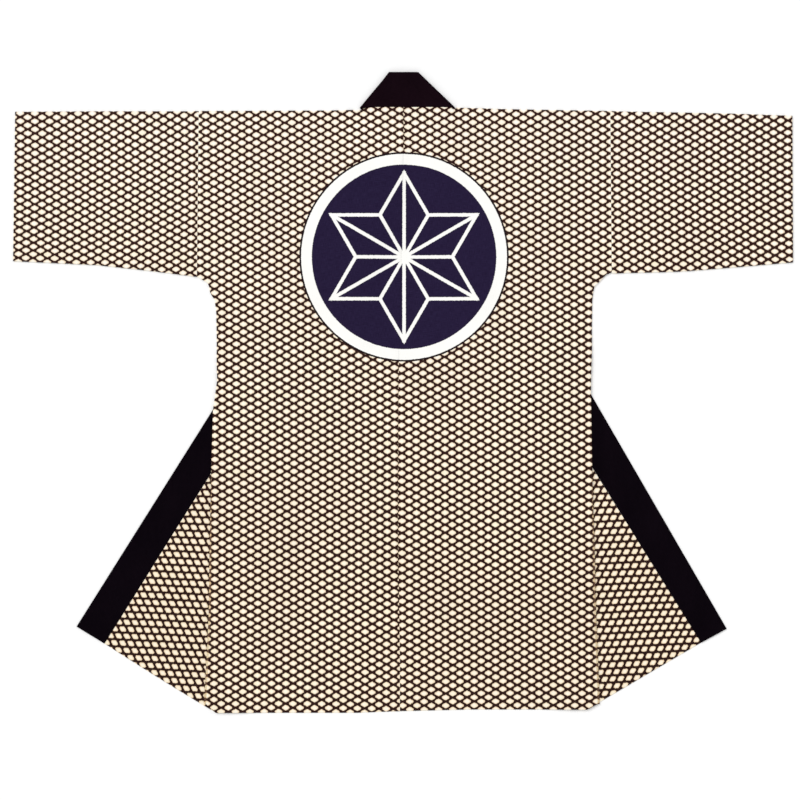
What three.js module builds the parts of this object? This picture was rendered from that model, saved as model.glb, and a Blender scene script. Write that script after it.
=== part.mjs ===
// A hanten laid flat on its fronts, back up, with each front folded out under it on a long slant.
// Millimetres. X runs to the wearer's right sleeve, Y to the collar, Z up from the surface.
// "out" is measured from the centre back seam, "up" from the shoulder line, both in the laid plane.
import * as THREE from 'three';

// Walls and air
const CLOTH_WALL = 1.2;
const BAND_WALL = 2.4;
const LAYER_GAP = 0.3;
const SEAM_GAP = 0.5;
const CENTRE_SEAM_GAP = 0.3;

// Size of a mesh cell in the body cloth, and how a layer comes down beside what lies under it
const CELL = 31;
const LEVEL_MARGIN = 26;
const SLOPE_RUN = 34;
const BACK_LEAD = 16;
const DROP_RUN = 64;
const BAND_MARGIN = 22;
const BAND_SLOPE_RUN = 24;

// Numbers of cells
const FOLD_STEPS = 4;
const NECK_COLUMNS = 3;
const SIDE_COLUMNS = 9;
const TURNED_COLUMNS = 6;
const SLEEVE_COLUMNS = 8;
const BAND_COLUMNS = 3;
const TURNED_BAND_CELLS = 9;
const HIDDEN_BAND_CELLS = 7;
const NECK_BAND_CELLS = 6;

// The collar at the nape stands this high over its own folded ends
const NAPE_LIFT = 5.4;
const NAPE_TOP = 64.4;
const NAPE_SEAM = 7.6;
const BACK_NECK_EDGE = 7.0;
const BACK_HEM_CENTRE = -988;

// Middle heights of two plain layers, and what their fold adds beyond the line it turns on
const FIRST_LAYER = CLOTH_WALL / 2;
const SECOND_LAYER = FIRST_LAYER + CLOTH_WALL + LAYER_GAP;
const CLOTH_FOLD = CLOTH_WALL / 2 + (SECOND_LAYER - FIRST_LAYER) / 2;

// Rows of the side tables above this height draw the curve under the arm
const UNDERARM_END = -320;

// How far apart cloth and collar turn over on the slant fold
const FOLD_SEAM_GAP = 2;
const SAME_PLACE = 0.001;

// Points and edges of each half. The slant fold runs from foldTop to foldFoot.
const HALVES = {
  left: {
    mirror: -1,
    neck: { out: 70.5, up: -0.3 },
    bandFoot: { out: 67, up: 2 },
    bandTop: { out: 23, up: 62.5 },
    foldTop: { out: 14.9, up: -9.9 },
    foldFoot: { out: 308.6, up: -993.3 },
    foldSeamOut: 68.5,
    hemSeam: { out: 490, up: -874.5 },
    hemCorner: { out: 535.4, up: -847.3 },
    sideFoot: { out: 326.2, up: -978 },
    side: [
      { up: 0, out: 336.9 },
      { up: -270, out: 339.9 },
      { up: -280, out: 325.4 },
      { up: -296, out: 317.5 },
      { up: -312, out: 306.9 },
      { up: -378, out: 305.3 },
      { up: -444, out: 306.4 },
      { up: -493, out: 313.5 },
      { up: -597, out: 317.5 },
      { up: -978, out: 326.2 },
    ],
    sleeve: [
      { out: 337.4, outFoot: 340.4, top: -0.5, foot: -270.5 },
      { out: 420, outFoot: 420, top: -0.5, foot: -262.5 },
      { out: 505, outFoot: 505, top: -0.5, foot: -251.5 },
      { out: 580, outFoot: 580, top: -1, foot: -249.5 },
      { out: 639.5, outFoot: 643, top: -1.5, foot: -246 },
    ],
  },
  right: {
    mirror: 1,
    neck: { out: 87.5, up: 1.5 },
    bandFoot: { out: 83.5, up: 2.5 },
    bandTop: { out: 21.5, up: 62.5 },
    foldTop: { out: 41.3, up: -3.3 },
    foldFoot: { out: 306.9, up: -986.7 },
    foldSeamOut: 111,
    hemSeam: { out: 491.2, up: -876 },
    hemCorner: { out: 532.1, up: -853 },
    sideFoot: { out: 320.1, up: -978 },
    side: [
      { up: 0, out: 341.9 },
      { up: -270, out: 344.2 },
      { up: -280, out: 323.4 },
      { up: -296, out: 313.5 },
      { up: -312, out: 311.4 },
      { up: -457, out: 310.2 },
      { up: -597, out: 311.9 },
      { up: -978, out: 320.1 },
    ],
    sleeve: [
      { out: 342.4, outFoot: 344.7, top: -0.5, foot: -267.5 },
      { out: 400, outFoot: 400, top: -1.5, foot: -262 },
      { out: 460, outFoot: 460, top: -2.5, foot: -264 },
      { out: 550, outFoot: 550, top: -4.5, foot: -254 },
      { out: 642, outFoot: 643, top: -8, foot: -249 },
    ],
  },
};

// Finishes
const LATTICE_COTTON = { color: 0xcfc6b4, roughness: 0.9, metalness: 0 };
const BLACK_COTTON = { color: 0x110a10, roughness: 0.88, metalness: 0 };

// Small sums on plan points

function between(a, b, share) {
  return { out: a.out + (b.out - a.out) * share, up: a.up + (b.up - a.up) * share };
}

function distance(a, b) {
  return Math.hypot(b.out - a.out, b.up - a.up);
}

function shifted(from, towards, length) {
  return between(from, towards, length / distance(from, towards));
}

// Unit vector square to the line a to b, on the side of the centre seam
function inwardNormal(a, b) {
  const length = distance(a, b);
  return { out: (b.up - a.up) / length, up: -(b.out - a.out) / length };
}

// How far a plan point lies past the line a to b, towards the centre seam
function pastLine(a, b, point) {
  const normal = inwardNormal(a, b);
  return (point.out - a.out) * normal.out + (point.up - a.up) * normal.up;
}

// Reads a column of a table at a place between its rows
function readTable(rows, place, placeName, valueName) {
  const last = rows.length - 1;
  const downward = rows[last][placeName] < rows[0][placeName];
  const reached = (row) => (downward ? row[placeName] <= place : row[placeName] >= place);
  const next = rows.findIndex(reached);
  if (next === 0) {
    return rows[0][valueName];
  }
  if (next < 0) {
    return rows[last][valueName];
  }
  const before = rows[next - 1];
  const after = rows[next];
  const share = (place - before[placeName]) / (after[placeName] - before[placeName]);
  return before[valueName] + (after[valueName] - before[valueName]) * share;
}

// Heights of the layers over the surface

function bandWidth(half) {
  return distance(half.hemSeam, half.hemCorner);
}

// Lift of a layer that lies on the turned front: over its collar, then over its single cloth
function liftOverTurned(half, point, margin, run) {
  const past = pastLine(half.foldTop, half.hemCorner, point);
  const collarEnd = bandWidth(half) + margin;
  const rows = [
    { past: -margin - run, lift: 0 },
    { past: -margin, lift: BAND_WALL + LAYER_GAP },
    { past: collarEnd, lift: BAND_WALL + LAYER_GAP },
    { past: collarEnd + run, lift: CLOTH_WALL + LAYER_GAP },
  ];
  return readTable(rows, past, 'past', 'lift');
}

function frontHeight(half, point) {
  return liftOverTurned(half, point, LEVEL_MARGIN, SLOPE_RUN) + CLOTH_WALL / 2;
}

function hiddenBandHeight(half, point) {
  return liftOverTurned(half, point, BAND_MARGIN, BAND_SLOPE_RUN) + BAND_WALL / 2;
}

// The back lies on the front and the hidden collar, and comes down to the surface between the folds
function backHeightOver(half, point) {
  const past = pastLine(half.foldTop, half.foldFoot, point);
  const dropRows = [
    { past: LEVEL_MARGIN, share: 1 },
    { past: LEVEL_MARGIN + DROP_RUN, share: 0 },
  ];
  const collarRows = [
    { out: half.foldSeamOut + LEVEL_MARGIN, extra: BAND_WALL - CLOTH_WALL },
    { out: half.foldSeamOut + LEVEL_MARGIN + SLOPE_RUN, extra: 0 },
  ];
  const lift = liftOverTurned(half, point, LEVEL_MARGIN + BACK_LEAD, SLOPE_RUN);
  const extra = readTable(collarRows, point.out, 'out', 'extra');
  const share = readTable(dropRows, past, 'past', 'share');
  return share * (lift + CLOTH_WALL + LAYER_GAP + extra);
}

function backHeight(half, point) {
  const other = half === HALVES.left ? HALVES.right : HALVES.left;
  const own = backHeightOver(half, point);
  const across = backHeightOver(other, { out: -point.out, up: point.up });
  return Math.max(own, across) + CLOTH_WALL / 2;
}

// Placing points and folds

function place(half, point, height) {
  return new THREE.Vector3(half.mirror * point.out, point.up, height);
}

// Rows of points that turn over an edge, from the row "from" to the row "to", bulging along "normal"
function foldRows(half, from, to, normal) {
  const rows = [];
  for (let step = 0; step <= FOLD_STEPS; step += 1) {
    const angle = (Math.PI * step) / FOLD_STEPS;
    rows.push(from.map((start, index) => {
      const end = to[index];
      const radius = Math.abs(start.z - end.z) / 2;
      const point = start.clone().lerp(end, (1 - Math.cos(angle)) / 2);
      point.x += half.mirror * normal.out * radius * Math.sin(angle);
      point.y += normal.up * radius * Math.sin(angle);
      return point;
    }));
  }
  return rows;
}

function transposed(rows) {
  return rows[0].map((_, column) => rows.map((row) => row[column]));
}

// A closed wall on a middle surface made of patches, which join where their points meet

function wallGeometry(patches, thickness) {
  const points = [];
  const numbers = new Map();
  const numberOf = (point) => {
    const key = point.toArray().map((value) => value.toFixed(3)).join(' ');
    if (!numbers.has(key)) {
      numbers.set(key, points.length);
      points.push(point);
    }
    return numbers.get(key);
  };
  const faces = [];
  const addFace = (a, b, c) => {
    if (a !== b && b !== c && c !== a) {
      faces.push([a, b, c]);
    }
  };
  for (const patch of patches) {
    const grid = patch.map((row) => row.map(numberOf));
    for (let row = 0; row + 1 < grid.length; row += 1) {
      for (let column = 0; column + 1 < grid[row].length; column += 1) {
        const corner = grid[row][column];
        const beside = grid[row][column + 1];
        const above = grid[row + 1][column];
        const across = grid[row + 1][column + 1];
        addFace(corner, beside, across);
        addFace(corner, across, above);
      }
    }
  }
  return thickened(points, faces, thickness);
}

function thickened(points, faces, thickness) {
  const normals = points.map(() => new THREE.Vector3());
  for (const [a, b, c] of faces) {
    const first = points[b].clone().sub(points[a]);
    const second = points[c].clone().sub(points[a]);
    const normal = first.cross(second);
    normals[a].add(normal);
    normals[b].add(normal);
    normals[c].add(normal);
  }
  const outer = points.map((point, index) => {
    return point.clone().addScaledVector(normals[index].normalize(), thickness / 2);
  });
  const inner = points.map((point, index) => {
    return point.clone().addScaledVector(normals[index], -thickness / 2);
  });
  const used = new Set(faces.flatMap(([a, b, c]) => [`${a} ${b}`, `${b} ${c}`, `${c} ${a}`]));
  const count = points.length;
  const indices = [];
  for (const [a, b, c] of faces) {
    indices.push(a, b, c, count + a, count + c, count + b);
    for (const [from, to] of [[a, b], [b, c], [c, a]]) {
      if (!used.has(`${to} ${from}`)) {
        indices.push(count + from, count + to, to, count + from, to, from);
      }
    }
  }
  const positions = [...outer, ...inner].flatMap((point) => point.toArray());
  const geometry = new THREE.BufferGeometry();
  geometry.setAttribute('position', new THREE.Float32BufferAttribute(positions, 3));
  geometry.setIndex(indices);
  geometry.computeVertexNormals();
  return geometry;
}

// The body: one cloth from the back hem over the shoulder to the front hem

// Where the collar seam meets the slant fold
function foldSeam(half) {
  const share = (half.foldSeamOut - half.foldTop.out) / (half.foldFoot.out - half.foldTop.out);
  return between(half.foldTop, half.foldFoot, share);
}

// Shares of the length at which the rows of the body lie, with the rows that its corners need
function bodyStations(half) {
  const seam = foldSeam(half);
  const top = half.neck.up;
  const length = half.foldFoot.up - top;
  const underarm = half.side.filter((row) => row.up < seam.up && row.up > UNDERARM_END);
  const stops = [top, seam.up, ...underarm.map((row) => row.up), half.foldFoot.up];
  const ups = [top];
  for (let index = 1; index < stops.length; index += 1) {
    const from = stops[index - 1];
    const cells = Math.ceil((from - stops[index]) / CELL);
    for (let cell = 1; cell <= cells; cell += 1) {
      ups.push(from + ((stops[index] - from) * cell) / cells);
    }
  }
  const seamRow = ups.findIndex((up) => Math.abs(up - seam.up) < SAME_PLACE);
  return { shares: ups.map((up) => (up - top) / length), seamRow };
}

// Shares across the body from the collar seam to the side, the last but one at the hem's corner
function sideShares(half) {
  const corner = (half.foldFoot.out - half.foldSeamOut) / (half.sideFoot.out - half.foldSeamOut);
  const shares = [];
  for (let column = 0; column < SIDE_COLUMNS; column += 1) {
    shares.push((corner * column) / (SIDE_COLUMNS - 1));
  }
  return [...shares, 1];
}

// The edge where the collar is sewn on, and below it the slant fold or a plumb line
function seamPoint(half, share, belowSeam) {
  const seam = foldSeam(half);
  const up = half.neck.up + (half.foldFoot.up - half.neck.up) * share;
  if (up >= seam.up) {
    return between(half.neck, seam, (half.neck.up - up) / (half.neck.up - seam.up));
  }
  return belowSeam(up);
}

function sidePoint(half, share) {
  const top = -CLOTH_FOLD;
  const up = top + (half.sideFoot.up - top) * share;
  return { out: readTable(half.side, up, 'up', 'out'), up };
}

// The back, from the neck and shoulder down to the hem, and from the centre seam out to the side
function backPatch(half, shares) {
  return shares.map((share) => {
    const seam = seamPoint(half, share, (up) => ({ out: half.foldSeamOut, up }));
    const side = sidePoint(half, share);
    const row = [];
    for (let column = 0; column < NECK_COLUMNS; column += 1) {
      const across = column / NECK_COLUMNS;
      const neckUp = BACK_NECK_EDGE + (half.neck.up - BACK_NECK_EDGE) * across ** 2;
      const hemUp = BACK_HEM_CENTRE + (half.foldFoot.up - BACK_HEM_CENTRE) * across;
      const out = CENTRE_SEAM_GAP / 2 + (seam.out - CENTRE_SEAM_GAP / 2) * across;
      row.push({ out, up: neckUp + (hemUp - neckUp) * share });
    }
    for (const across of sideShares(half)) {
      const slope = across < 1 ? across * (1 - share) : 1;
      const out = seam.out + (side.out - seam.out) * across;
      row.push({ out, up: seam.up + (side.up - seam.up) * slope });
    }
    return row.map((point) => place(half, point, backHeight(half, point)));
  });
}

// The front that still lies face down, from the collar seam or the slant fold out to the side
function hiddenFrontPatch(half, shares) {
  const onFold = (up) => {
    const share = (up - half.foldTop.up) / (half.foldFoot.up - half.foldTop.up);
    return between(half.foldTop, half.foldFoot, share);
  };
  return shares.map((share) => {
    const seam = seamPoint(half, share, onFold);
    const side = sidePoint(half, share);
    return sideShares(half).map((across) => {
      const point = between(seam, side, across);
      return place(half, point, frontHeight(half, point));
    });
  });
}

// The front turned face up below the slant fold, a triangle between fold, collar seam and hem
function turnedFrontPatch(half, shares, seamRow) {
  const seam = foldSeam(half);
  return shares.slice(seamRow).map((share) => {
    const reach = (share - shares[seamRow]) / (1 - shares[seamRow]);
    const onFold = between(seam, half.foldFoot, reach);
    const onSeam = between(seam, half.hemSeam, reach);
    const row = [];
    for (let column = 0; column <= TURNED_COLUMNS; column += 1) {
      const point = between(onSeam, onFold, column / TURNED_COLUMNS);
      row.push(place(half, point, FIRST_LAYER));
    }
    return row;
  });
}

function bodyGeometry(half) {
  const { shares, seamRow } = bodyStations(half);
  const back = backPatch(half, shares);
  const hidden = hiddenFrontPatch(half, shares);
  const turned = turnedFrontPatch(half, shares, seamRow);
  const backShoulder = back[0].slice(NECK_COLUMNS);
  const shoulder = foldRows(half, backShoulder, hidden[0], { out: 0, up: 1 });
  const turnedEdge = turned.map((row) => row[TURNED_COLUMNS]);
  const hiddenEdge = hidden.slice(seamRow).map((row) => row[0]);
  const inward = inwardNormal(half.foldTop, half.foldFoot);
  const slant = transposed(foldRows(half, turnedEdge, hiddenEdge, inward));
  return wallGeometry([back.reverse(), shoulder, hidden, slant, turned], CLOTH_WALL);
}

// A sleeve: one cloth folded at its top edge and sewn under the arm, pressed flat

function sleeveGeometry(half) {
  const lower = [];
  const upper = [];
  for (const row of half.sleeve) {
    const top = { out: row.out, up: row.top - CLOTH_FOLD };
    const foot = { out: row.outFoot, up: row.foot + CLOTH_FOLD };
    const across = [];
    for (let column = 0; column <= SLEEVE_COLUMNS; column += 1) {
      across.push(between(top, foot, column / SLEEVE_COLUMNS));
    }
    lower.push(across.map((point) => place(half, point, FIRST_LAYER)));
    upper.push(across.map((point) => place(half, point, SECOND_LAYER)));
  }
  const lowerRows = transposed(lower);
  const upperRows = transposed(upper).reverse();
  const topFold = foldRows(half, upperRows[SLEEVE_COLUMNS], lowerRows[0], { out: 0, up: 1 });
  const footFold = foldRows(half, lowerRows[SLEEVE_COLUMNS], upperRows[0], { out: 0, up: -1 });
  return wallGeometry([upperRows, topFold, lowerRows, footFold], CLOTH_WALL);
}

// The collar: one folded band from front hem to front hem, turned twice on each side

// A row of points across the band, from its seam to its free edge
function bandRow(half, pair, heightAt) {
  const row = [];
  for (let column = 0; column <= BAND_COLUMNS; column += 1) {
    const point = between(pair.seam, pair.free, column / BAND_COLUMNS);
    row.push(place(half, point, heightAt(point)));
  }
  return row;
}

function bandRows(half, from, to, cells, heightAt) {
  const rows = [];
  for (let cell = 0; cell <= cells; cell += 1) {
    const pair = {
      seam: between(from.seam, to.seam, cell / cells),
      free: between(from.free, to.free, cell / cells),
    };
    rows.push(bandRow(half, pair, heightAt));
  }
  return rows;
}

// One side of the collar from its front hem up to the nape
function collarSide(half) {
  const hem = {
    seam: shifted(half.hemSeam, half.hemCorner, SEAM_GAP),
    free: half.hemCorner,
  };
  const slant = {
    seam: shifted(foldSeam(half), half.foldTop, FOLD_SEAM_GAP),
    free: half.foldTop,
  };
  const nape = { seam: half.bandFoot, free: half.bandTop };
  const turned = bandRows(half, hem, slant, TURNED_BAND_CELLS, () => BAND_WALL / 2);
  const hidden = bandRows(half, slant, nape, HIDDEN_BAND_CELLS, (point) => {
    return hiddenBandHeight(half, point);
  });
  const napeEdge = bandRow(half, nape, () => NAPE_LIFT + BAND_WALL / 2);
  const inward = inwardNormal(half.foldTop, half.foldFoot);
  const outward = inwardNormal(half.bandFoot, half.bandTop);
  const slantFold = foldRows(half, turned[turned.length - 1], hidden[0], inward);
  const napeFold = foldRows(half, hidden[hidden.length - 1], napeEdge, outward);
  return { rows: [...turned, ...slantFold, ...hidden, ...napeFold], napeEdge };
}

function collarGeometry() {
  const left = collarSide(HALVES.left);
  const right = collarSide(HALVES.right);
  const nape = [];
  for (let cell = 1; cell < NECK_BAND_CELLS; cell += 1) {
    const share = cell / NECK_BAND_CELLS;
    const row = left.napeEdge.map((point, column) => {
      const spread = point.clone().lerp(right.napeEdge[column], share);
      const up = NAPE_SEAM + ((NAPE_TOP - NAPE_SEAM) * column) / BAND_COLUMNS;
      return new THREE.Vector3(spread.x, up, spread.z);
    });
    nape.push(row);
  }
  return wallGeometry([[...left.rows, ...nape, ...right.rows.reverse()]], BAND_WALL);
}

// The garment

function addMesh(group, name, geometry, finish) {
  const mesh = new THREE.Mesh(geometry, new THREE.MeshStandardMaterial(finish));
  mesh.name = name;
  group.add(mesh);
}

const hanten = new THREE.Group();
addMesh(hanten, 'body_left', bodyGeometry(HALVES.left), LATTICE_COTTON);
addMesh(hanten, 'body_right', bodyGeometry(HALVES.right), LATTICE_COTTON);
addMesh(hanten, 'sleeve_left', sleeveGeometry(HALVES.left), LATTICE_COTTON);
addMesh(hanten, 'sleeve_right', sleeveGeometry(HALVES.right), LATTICE_COTTON);
addMesh(hanten, 'collar', collarGeometry(), BLACK_COTTON);

// The origin is under the middle of the laid garment, on the surface
const extent = new THREE.Box3().setFromObject(hanten);
const middle = extent.getCenter(new THREE.Vector3());
hanten.position.set(-middle.x, -middle.y, -extent.min.z);

export default hanten;
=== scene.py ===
# %% [markdown]
# A hanten is a short working coat of narrow cotton cloth. This one is laid flat with its back up.
# Each front lies under the back, face down, and is folded out along a slant, so that its lower
# corner and the black collar show beside the hem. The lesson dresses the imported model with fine
# cloth: surfaces worked out with numpy, a woven and dyed finish made of nodes, and soft light.

# %% The frame
import functools
import math

import bpy
import numpy as np
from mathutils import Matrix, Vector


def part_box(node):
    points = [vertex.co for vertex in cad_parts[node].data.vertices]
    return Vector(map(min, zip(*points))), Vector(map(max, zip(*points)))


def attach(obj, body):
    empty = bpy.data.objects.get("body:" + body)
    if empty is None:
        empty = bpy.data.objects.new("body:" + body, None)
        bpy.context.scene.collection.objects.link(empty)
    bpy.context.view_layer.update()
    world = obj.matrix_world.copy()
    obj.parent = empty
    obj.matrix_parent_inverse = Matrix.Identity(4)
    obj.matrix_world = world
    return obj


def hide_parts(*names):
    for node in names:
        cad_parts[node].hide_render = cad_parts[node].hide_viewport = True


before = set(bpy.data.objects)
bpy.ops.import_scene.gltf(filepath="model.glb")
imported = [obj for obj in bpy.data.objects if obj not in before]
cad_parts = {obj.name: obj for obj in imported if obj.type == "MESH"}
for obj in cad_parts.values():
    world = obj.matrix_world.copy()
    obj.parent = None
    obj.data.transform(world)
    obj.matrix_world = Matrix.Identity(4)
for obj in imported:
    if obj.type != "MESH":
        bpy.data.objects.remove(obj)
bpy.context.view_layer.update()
print("solids to dress:", sorted(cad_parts))

# %% [markdown]
# The coat is measured as a maker would: how far out from the centre back seam, and how far up
# from the shoulder line, both in millimetres. The two halves are cut alike but lie a little
# differently, so each has its own column of places, which were measured on the photograph at
# 1.65 mm a pixel. Left and right are the wearer's.

# %% Sizes
MM = 0.001
CLOTH_WALL, BAND_WALL, LAYER_GAP = 1.2, 2.4, 0.3  # room that each layer of the model takes
CLOTH_THICK, BAND_THICK = 0.9, 2.2  # cloth and collar as they are drawn here
BAND_WIDE = 53.0  # finished width of the collar
SEAM_GAP = 0.02  # between the middles of two sewn edges
FOLD_SEAM_GAP = 2.0  # from the front to the collar at the slant fold
NAPE_LIFT, NAPE_TOP, NAPE_SEAM = 5.4, 63.3, 5.4  # the collar at the nape: height, upper and lower edge
NECK_EDGE, HEM_CENTRE = 5.2, -990.0  # ends of the centre back seam
FIRST_LAYER = CLOTH_WALL / 2
SECOND_LAYER = FIRST_LAYER + CLOTH_WALL + LAYER_GAP
CLOTH_FOLD = CLOTH_WALL / 2 + (SECOND_LAYER - FIRST_LAYER) / 2

# neck: where back, front and collar meet. band: the collar's fold beside the nape. fold: the slant
# fold. seam_out: where the collar seam crosses it. hem_seam, hem_corner: the collar's hem. hem_bow:
# how far the turned hem sags. side, sleeve: the side edge and the sleeve's edges.
HALVES = {
    "left": dict(
        mirror=-1, neck=(70.5, -0.3), band_foot=(68.8, 2), band_top=(22.8, 57),
        fold_top=(19.2, -24.3), fold_foot=(308.6, -992.8), seam_out=75.5,
        hem_seam=(492.5, -878.5), hem_corner=(538.5, -850.5), side_foot=(324.5, -978), hem_bow=1.3,
        side_up=(0, -274, -279, -284, -299, -304, -309, -331, -378, -444, -493, -597, -741, -825, -890,
                 -940, -978),
        side_out=(336.9, 339.9, 330, 321.8, 316.8, 315, 310, 307, 305.8, 305, 312, 315.2, 315.8,
                  316.8, 319.8, 322.5, 324.5),
        sleeve_out=(337.4, 420, 505, 580, 639.5), sleeve_foot_out=(340.4, 420, 505, 580, 643),
        sleeve_top=(-0.5, -0.5, -0.5, -1, -1.5), sleeve_foot=(-273.8, -263.8, -254.5, -251, -248)),
    "right": dict(
        mirror=1, neck=(87.5, 3.2), band_foot=(83.5, 2.5), band_top=(22.9, 62.2),
        fold_top=(41.3, -3.3), fold_foot=(303.5, -987.4), seam_out=111,
        hem_seam=(491.6, -877), hem_corner=(533.8, -854), side_foot=(320.6, -978), hem_bow=0.0,
        side_up=(0, -267.5, -269, -273, -282, -290.5, -298, -312, -457, -597, -807, -889, -955, -978),
        side_out=(341.9, 344.2, 336.5, 331.7, 323.6, 314.6, 312.6, 311, 308.4, 310.8, 314, 317.3, 320,
                  320.6),
        sleeve_out=(342.4, 400, 460, 550, 642), sleeve_foot_out=(344.7, 400, 460, 550, 643),
        sleeve_top=(-0.5, -1.5, -2.5, -4.5, -8), sleeve_foot=(-268, -267, -265.2, -258, -250)),
}

CENTRE_UP = (40, -100, -300, -450, -600, -700, -780, -900, -1000)  # how the centre back seam leans
CENTRE_AT = (1.2, 0.5, -4, -7.4, -8.4, -8.4, -7, -5.2, -5)  # mm across at those heights

# The shoulder line's height in the frame, from the top edge of the left sleeve
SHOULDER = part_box("sleeve_left")[1][1] / MM - HALVES["left"]["sleeve_top"][0]
print("shoulder line at", round(SHOULDER, 1), "mm")

# %% [markdown]
# Everything below works on whole arrays of points. A plan point is a pair of arrays, out and up.
# These helpers measure distances past a line, ease from one level to another, and space the
# rows of a grid so that they are close at seams and edges and wide in between.

# %% Plan helpers


def point_between(a, b, share):
    """The point a given share of the way from a to b: a + (b - a) * share. With lines of points
    for a and b, as columns, and a row of shares this is a whole grid."""
    share = np.asarray(share, dtype=float)
    return a[0] + (b[0] - a[0]) * share, a[1] + (b[1] - a[1]) * share


def span(a, b):
    """Straight distance between two plan points."""
    return math.hypot(b[0] - a[0], b[1] - a[1])


def inward(a, b):
    """Unit vector square to the line from a to b, on the side of the centre seam."""
    return (b[1] - a[1]) / span(a, b), -(b[0] - a[0]) / span(a, b)


def past_line(a, b, out, up):
    """How far points lie past the line from a to b, towards the centre seam: a dot product."""
    normal = inward(a, b)
    return (out - a[0]) * normal[0] + (up - a[1]) * normal[1]


def ease(x, low, high):
    """0 below low and 1 above high, with the smooth cubic 3t^2 - 2t^3 between them."""
    t = np.clip((x - low) / (high - low), 0, 1)
    return t * t * (3 - 2 * t)


EDGE_STEPS = np.array([0, 0.7, 1.6, 3, 5, 8, 12])  # mm from an edge, where the cloth turns most


def graded(length, cell):
    """Shares from 0 to 1 of a length in mm: close together at both ends, one cell apart between."""
    inner = np.arange(EDGE_STEPS[-1], length - EDGE_STEPS[-1], cell)[1:]
    marks = np.concatenate([EDGE_STEPS, inner, length - EDGE_STEPS[::-1]])
    return marks / length


# %% [markdown]
# The layers lie on each other. On the surface lie the turned fronts and their collar. The rest
# of each front lies on them, face down, and the back lies on top of all, coming down to the
# surface between the two slant folds. Each layer's height is that of what is under it, eased out
# past its edges, because cotton bridges an edge in a soft slope and doesn't drop off it.

# %% Heights of the layers
MARGIN, SLOPE = 14, 34  # mm past an edge where cloth starts to sink, and over how far
BAND_MARGIN, BAND_SLOPE = 22, 24  # the same for the stiffer collar
LEAD, DROP = 10, 70  # what the back adds to its margin, and its way down to the surface


def lift_over_turned(half, out, up, margin, slope):
    """Rise on to the turned collar, then halfway down on to the turned cloth, along the distance
    past the collar's outer edge."""
    past = past_line(half["fold_top"], half["hem_corner"], out, up)
    band = span(half["hem_seam"], half["hem_corner"])
    over_band, over_cloth = BAND_WALL + LAYER_GAP, CLOTH_WALL + LAYER_GAP
    rise = ease(past, -margin - slope, -margin)
    fall = ease(past, band + margin, band + margin + slope)
    return over_band * rise - (over_band - over_cloth) * fall


def front_height(half, out, up):
    """Middle of the hidden front, which lies on the turned collar and cloth."""
    return lift_over_turned(half, out, up, MARGIN, SLOPE) + CLOTH_WALL / 2


def hidden_band_height(half, out, up):
    """Middle of the hidden collar, which lies on them too."""
    return lift_over_turned(half, out, up, BAND_MARGIN, BAND_SLOPE) + BAND_WALL / 2


def back_height_over(half, out, up):
    """What lies under the back on one half: the front, the hidden collar by the neck, and the
    slope down to the surface past the slant fold."""
    past = past_line(half["fold_top"], half["fold_foot"], out, up)
    collar_end = half["seam_out"] + MARGIN
    extra = (BAND_WALL - CLOTH_WALL) * (1 - ease(out, collar_end, collar_end + SLOPE))
    lift = lift_over_turned(half, out, up, MARGIN + LEAD, SLOPE)
    share = 1 - ease(past, MARGIN, MARGIN + DROP)
    return share * (lift + CLOTH_WALL + LAYER_GAP + extra)


def back_height(half, out, up):
    """Middle of the back: the larger of what lies under it on this half and on the other."""
    other = HALVES["left"] if half is HALVES["right"] else HALVES["right"]
    both = np.maximum(back_height_over(half, out, up), back_height_over(other, -out, up))
    return both + CLOTH_WALL / 2


# %% [markdown]
# Pressed cotton is never quite flat. A few long soft ridges are placed, from the places
# that pull: under the arms, beside the neck, down the skirt and along the sleeves. Each is a
# smooth hump across a line, strongest in the middle of the line and gone at its ends.

# %% Creases
BACK_CREASES = [  # start, end, half width, height
    ((300, -292), (176, -520), 15, 1.9),
    ((303, -335), (228, -655), 20, 1.3),
    ((92, -24), (168, -205), 13, 1.1),
    ((250, -20), (262, -190), 17, 0.9),
    ((118, -455), (146, -905), 27, 1.5),
    ((34, -575), (58, -962), 21, 1.1),
    ((258, -700), (284, -984), 18, 1.4),
    ((30, -60), (44, -330), 16, 0.9),
    ((196, -640), (206, -975), 15, 0.9),
]
SLEEVE_CREASES = [
    ((352, -238), (452, -138), 12, 1.6),
    ((398, -36), (606, -62), 17, 1.1),
    ((556, -110), (604, -226), 14, 1.0),
    ((468, -216), (560, -176), 11, 0.9),
]
RIGHT_WEAKER, RIGHT_LOWER = 0.8, -22.0
TURNED_CREASES = [
    ((346, -610), (428, -846), 15, 1.3),
    ((322, -770), (372, -938), 12, 1.0),
    ((402, -760), (470, -868), 9, 0.8),
]


def creases(table, half, out, up):
    """Sum of ridges: exp(-(distance / width)^2) across a line times sin(pi * share) along it.
    The right half's ridges lie a little lower and are a little weaker, so the sides differ."""
    strength, slip = (1.0, 0.0) if half["mirror"] < 0 else (RIGHT_WEAKER, RIGHT_LOWER)
    total = np.zeros(np.shape(out))
    for start, end, width, height in table:
        length = span(start, end)
        along = ((out - start[0]) * (end[0] - start[0]) + (up - start[1] - slip) * (end[1] - start[1]))
        share = np.clip(along / length ** 2, 0, 1)
        across = past_line(start, end, out, up - slip)
        ridge = np.exp(-(across / width) ** 2) * np.sin(math.pi * share)
        total += strength * height * ridge
    return total


# %% [markdown]
# Seams show as a step and a groove, because the seam allowances are pressed to one side. The
# step is as high as one more layer of cloth and as wide as the allowance.

# %% Seam steps
ALLOWANCE, STEP_RISE = 12.0, 0.55


def seam_step(distance, width=ALLOWANCE):
    """One extra layer beside a seam: it rises within 2 mm of the seam and ends softly at width."""
    return STEP_RISE * ease(distance, 0.2, 2.2) * (1 - ease(distance, width - 1.5, width + 2.5))


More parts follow.
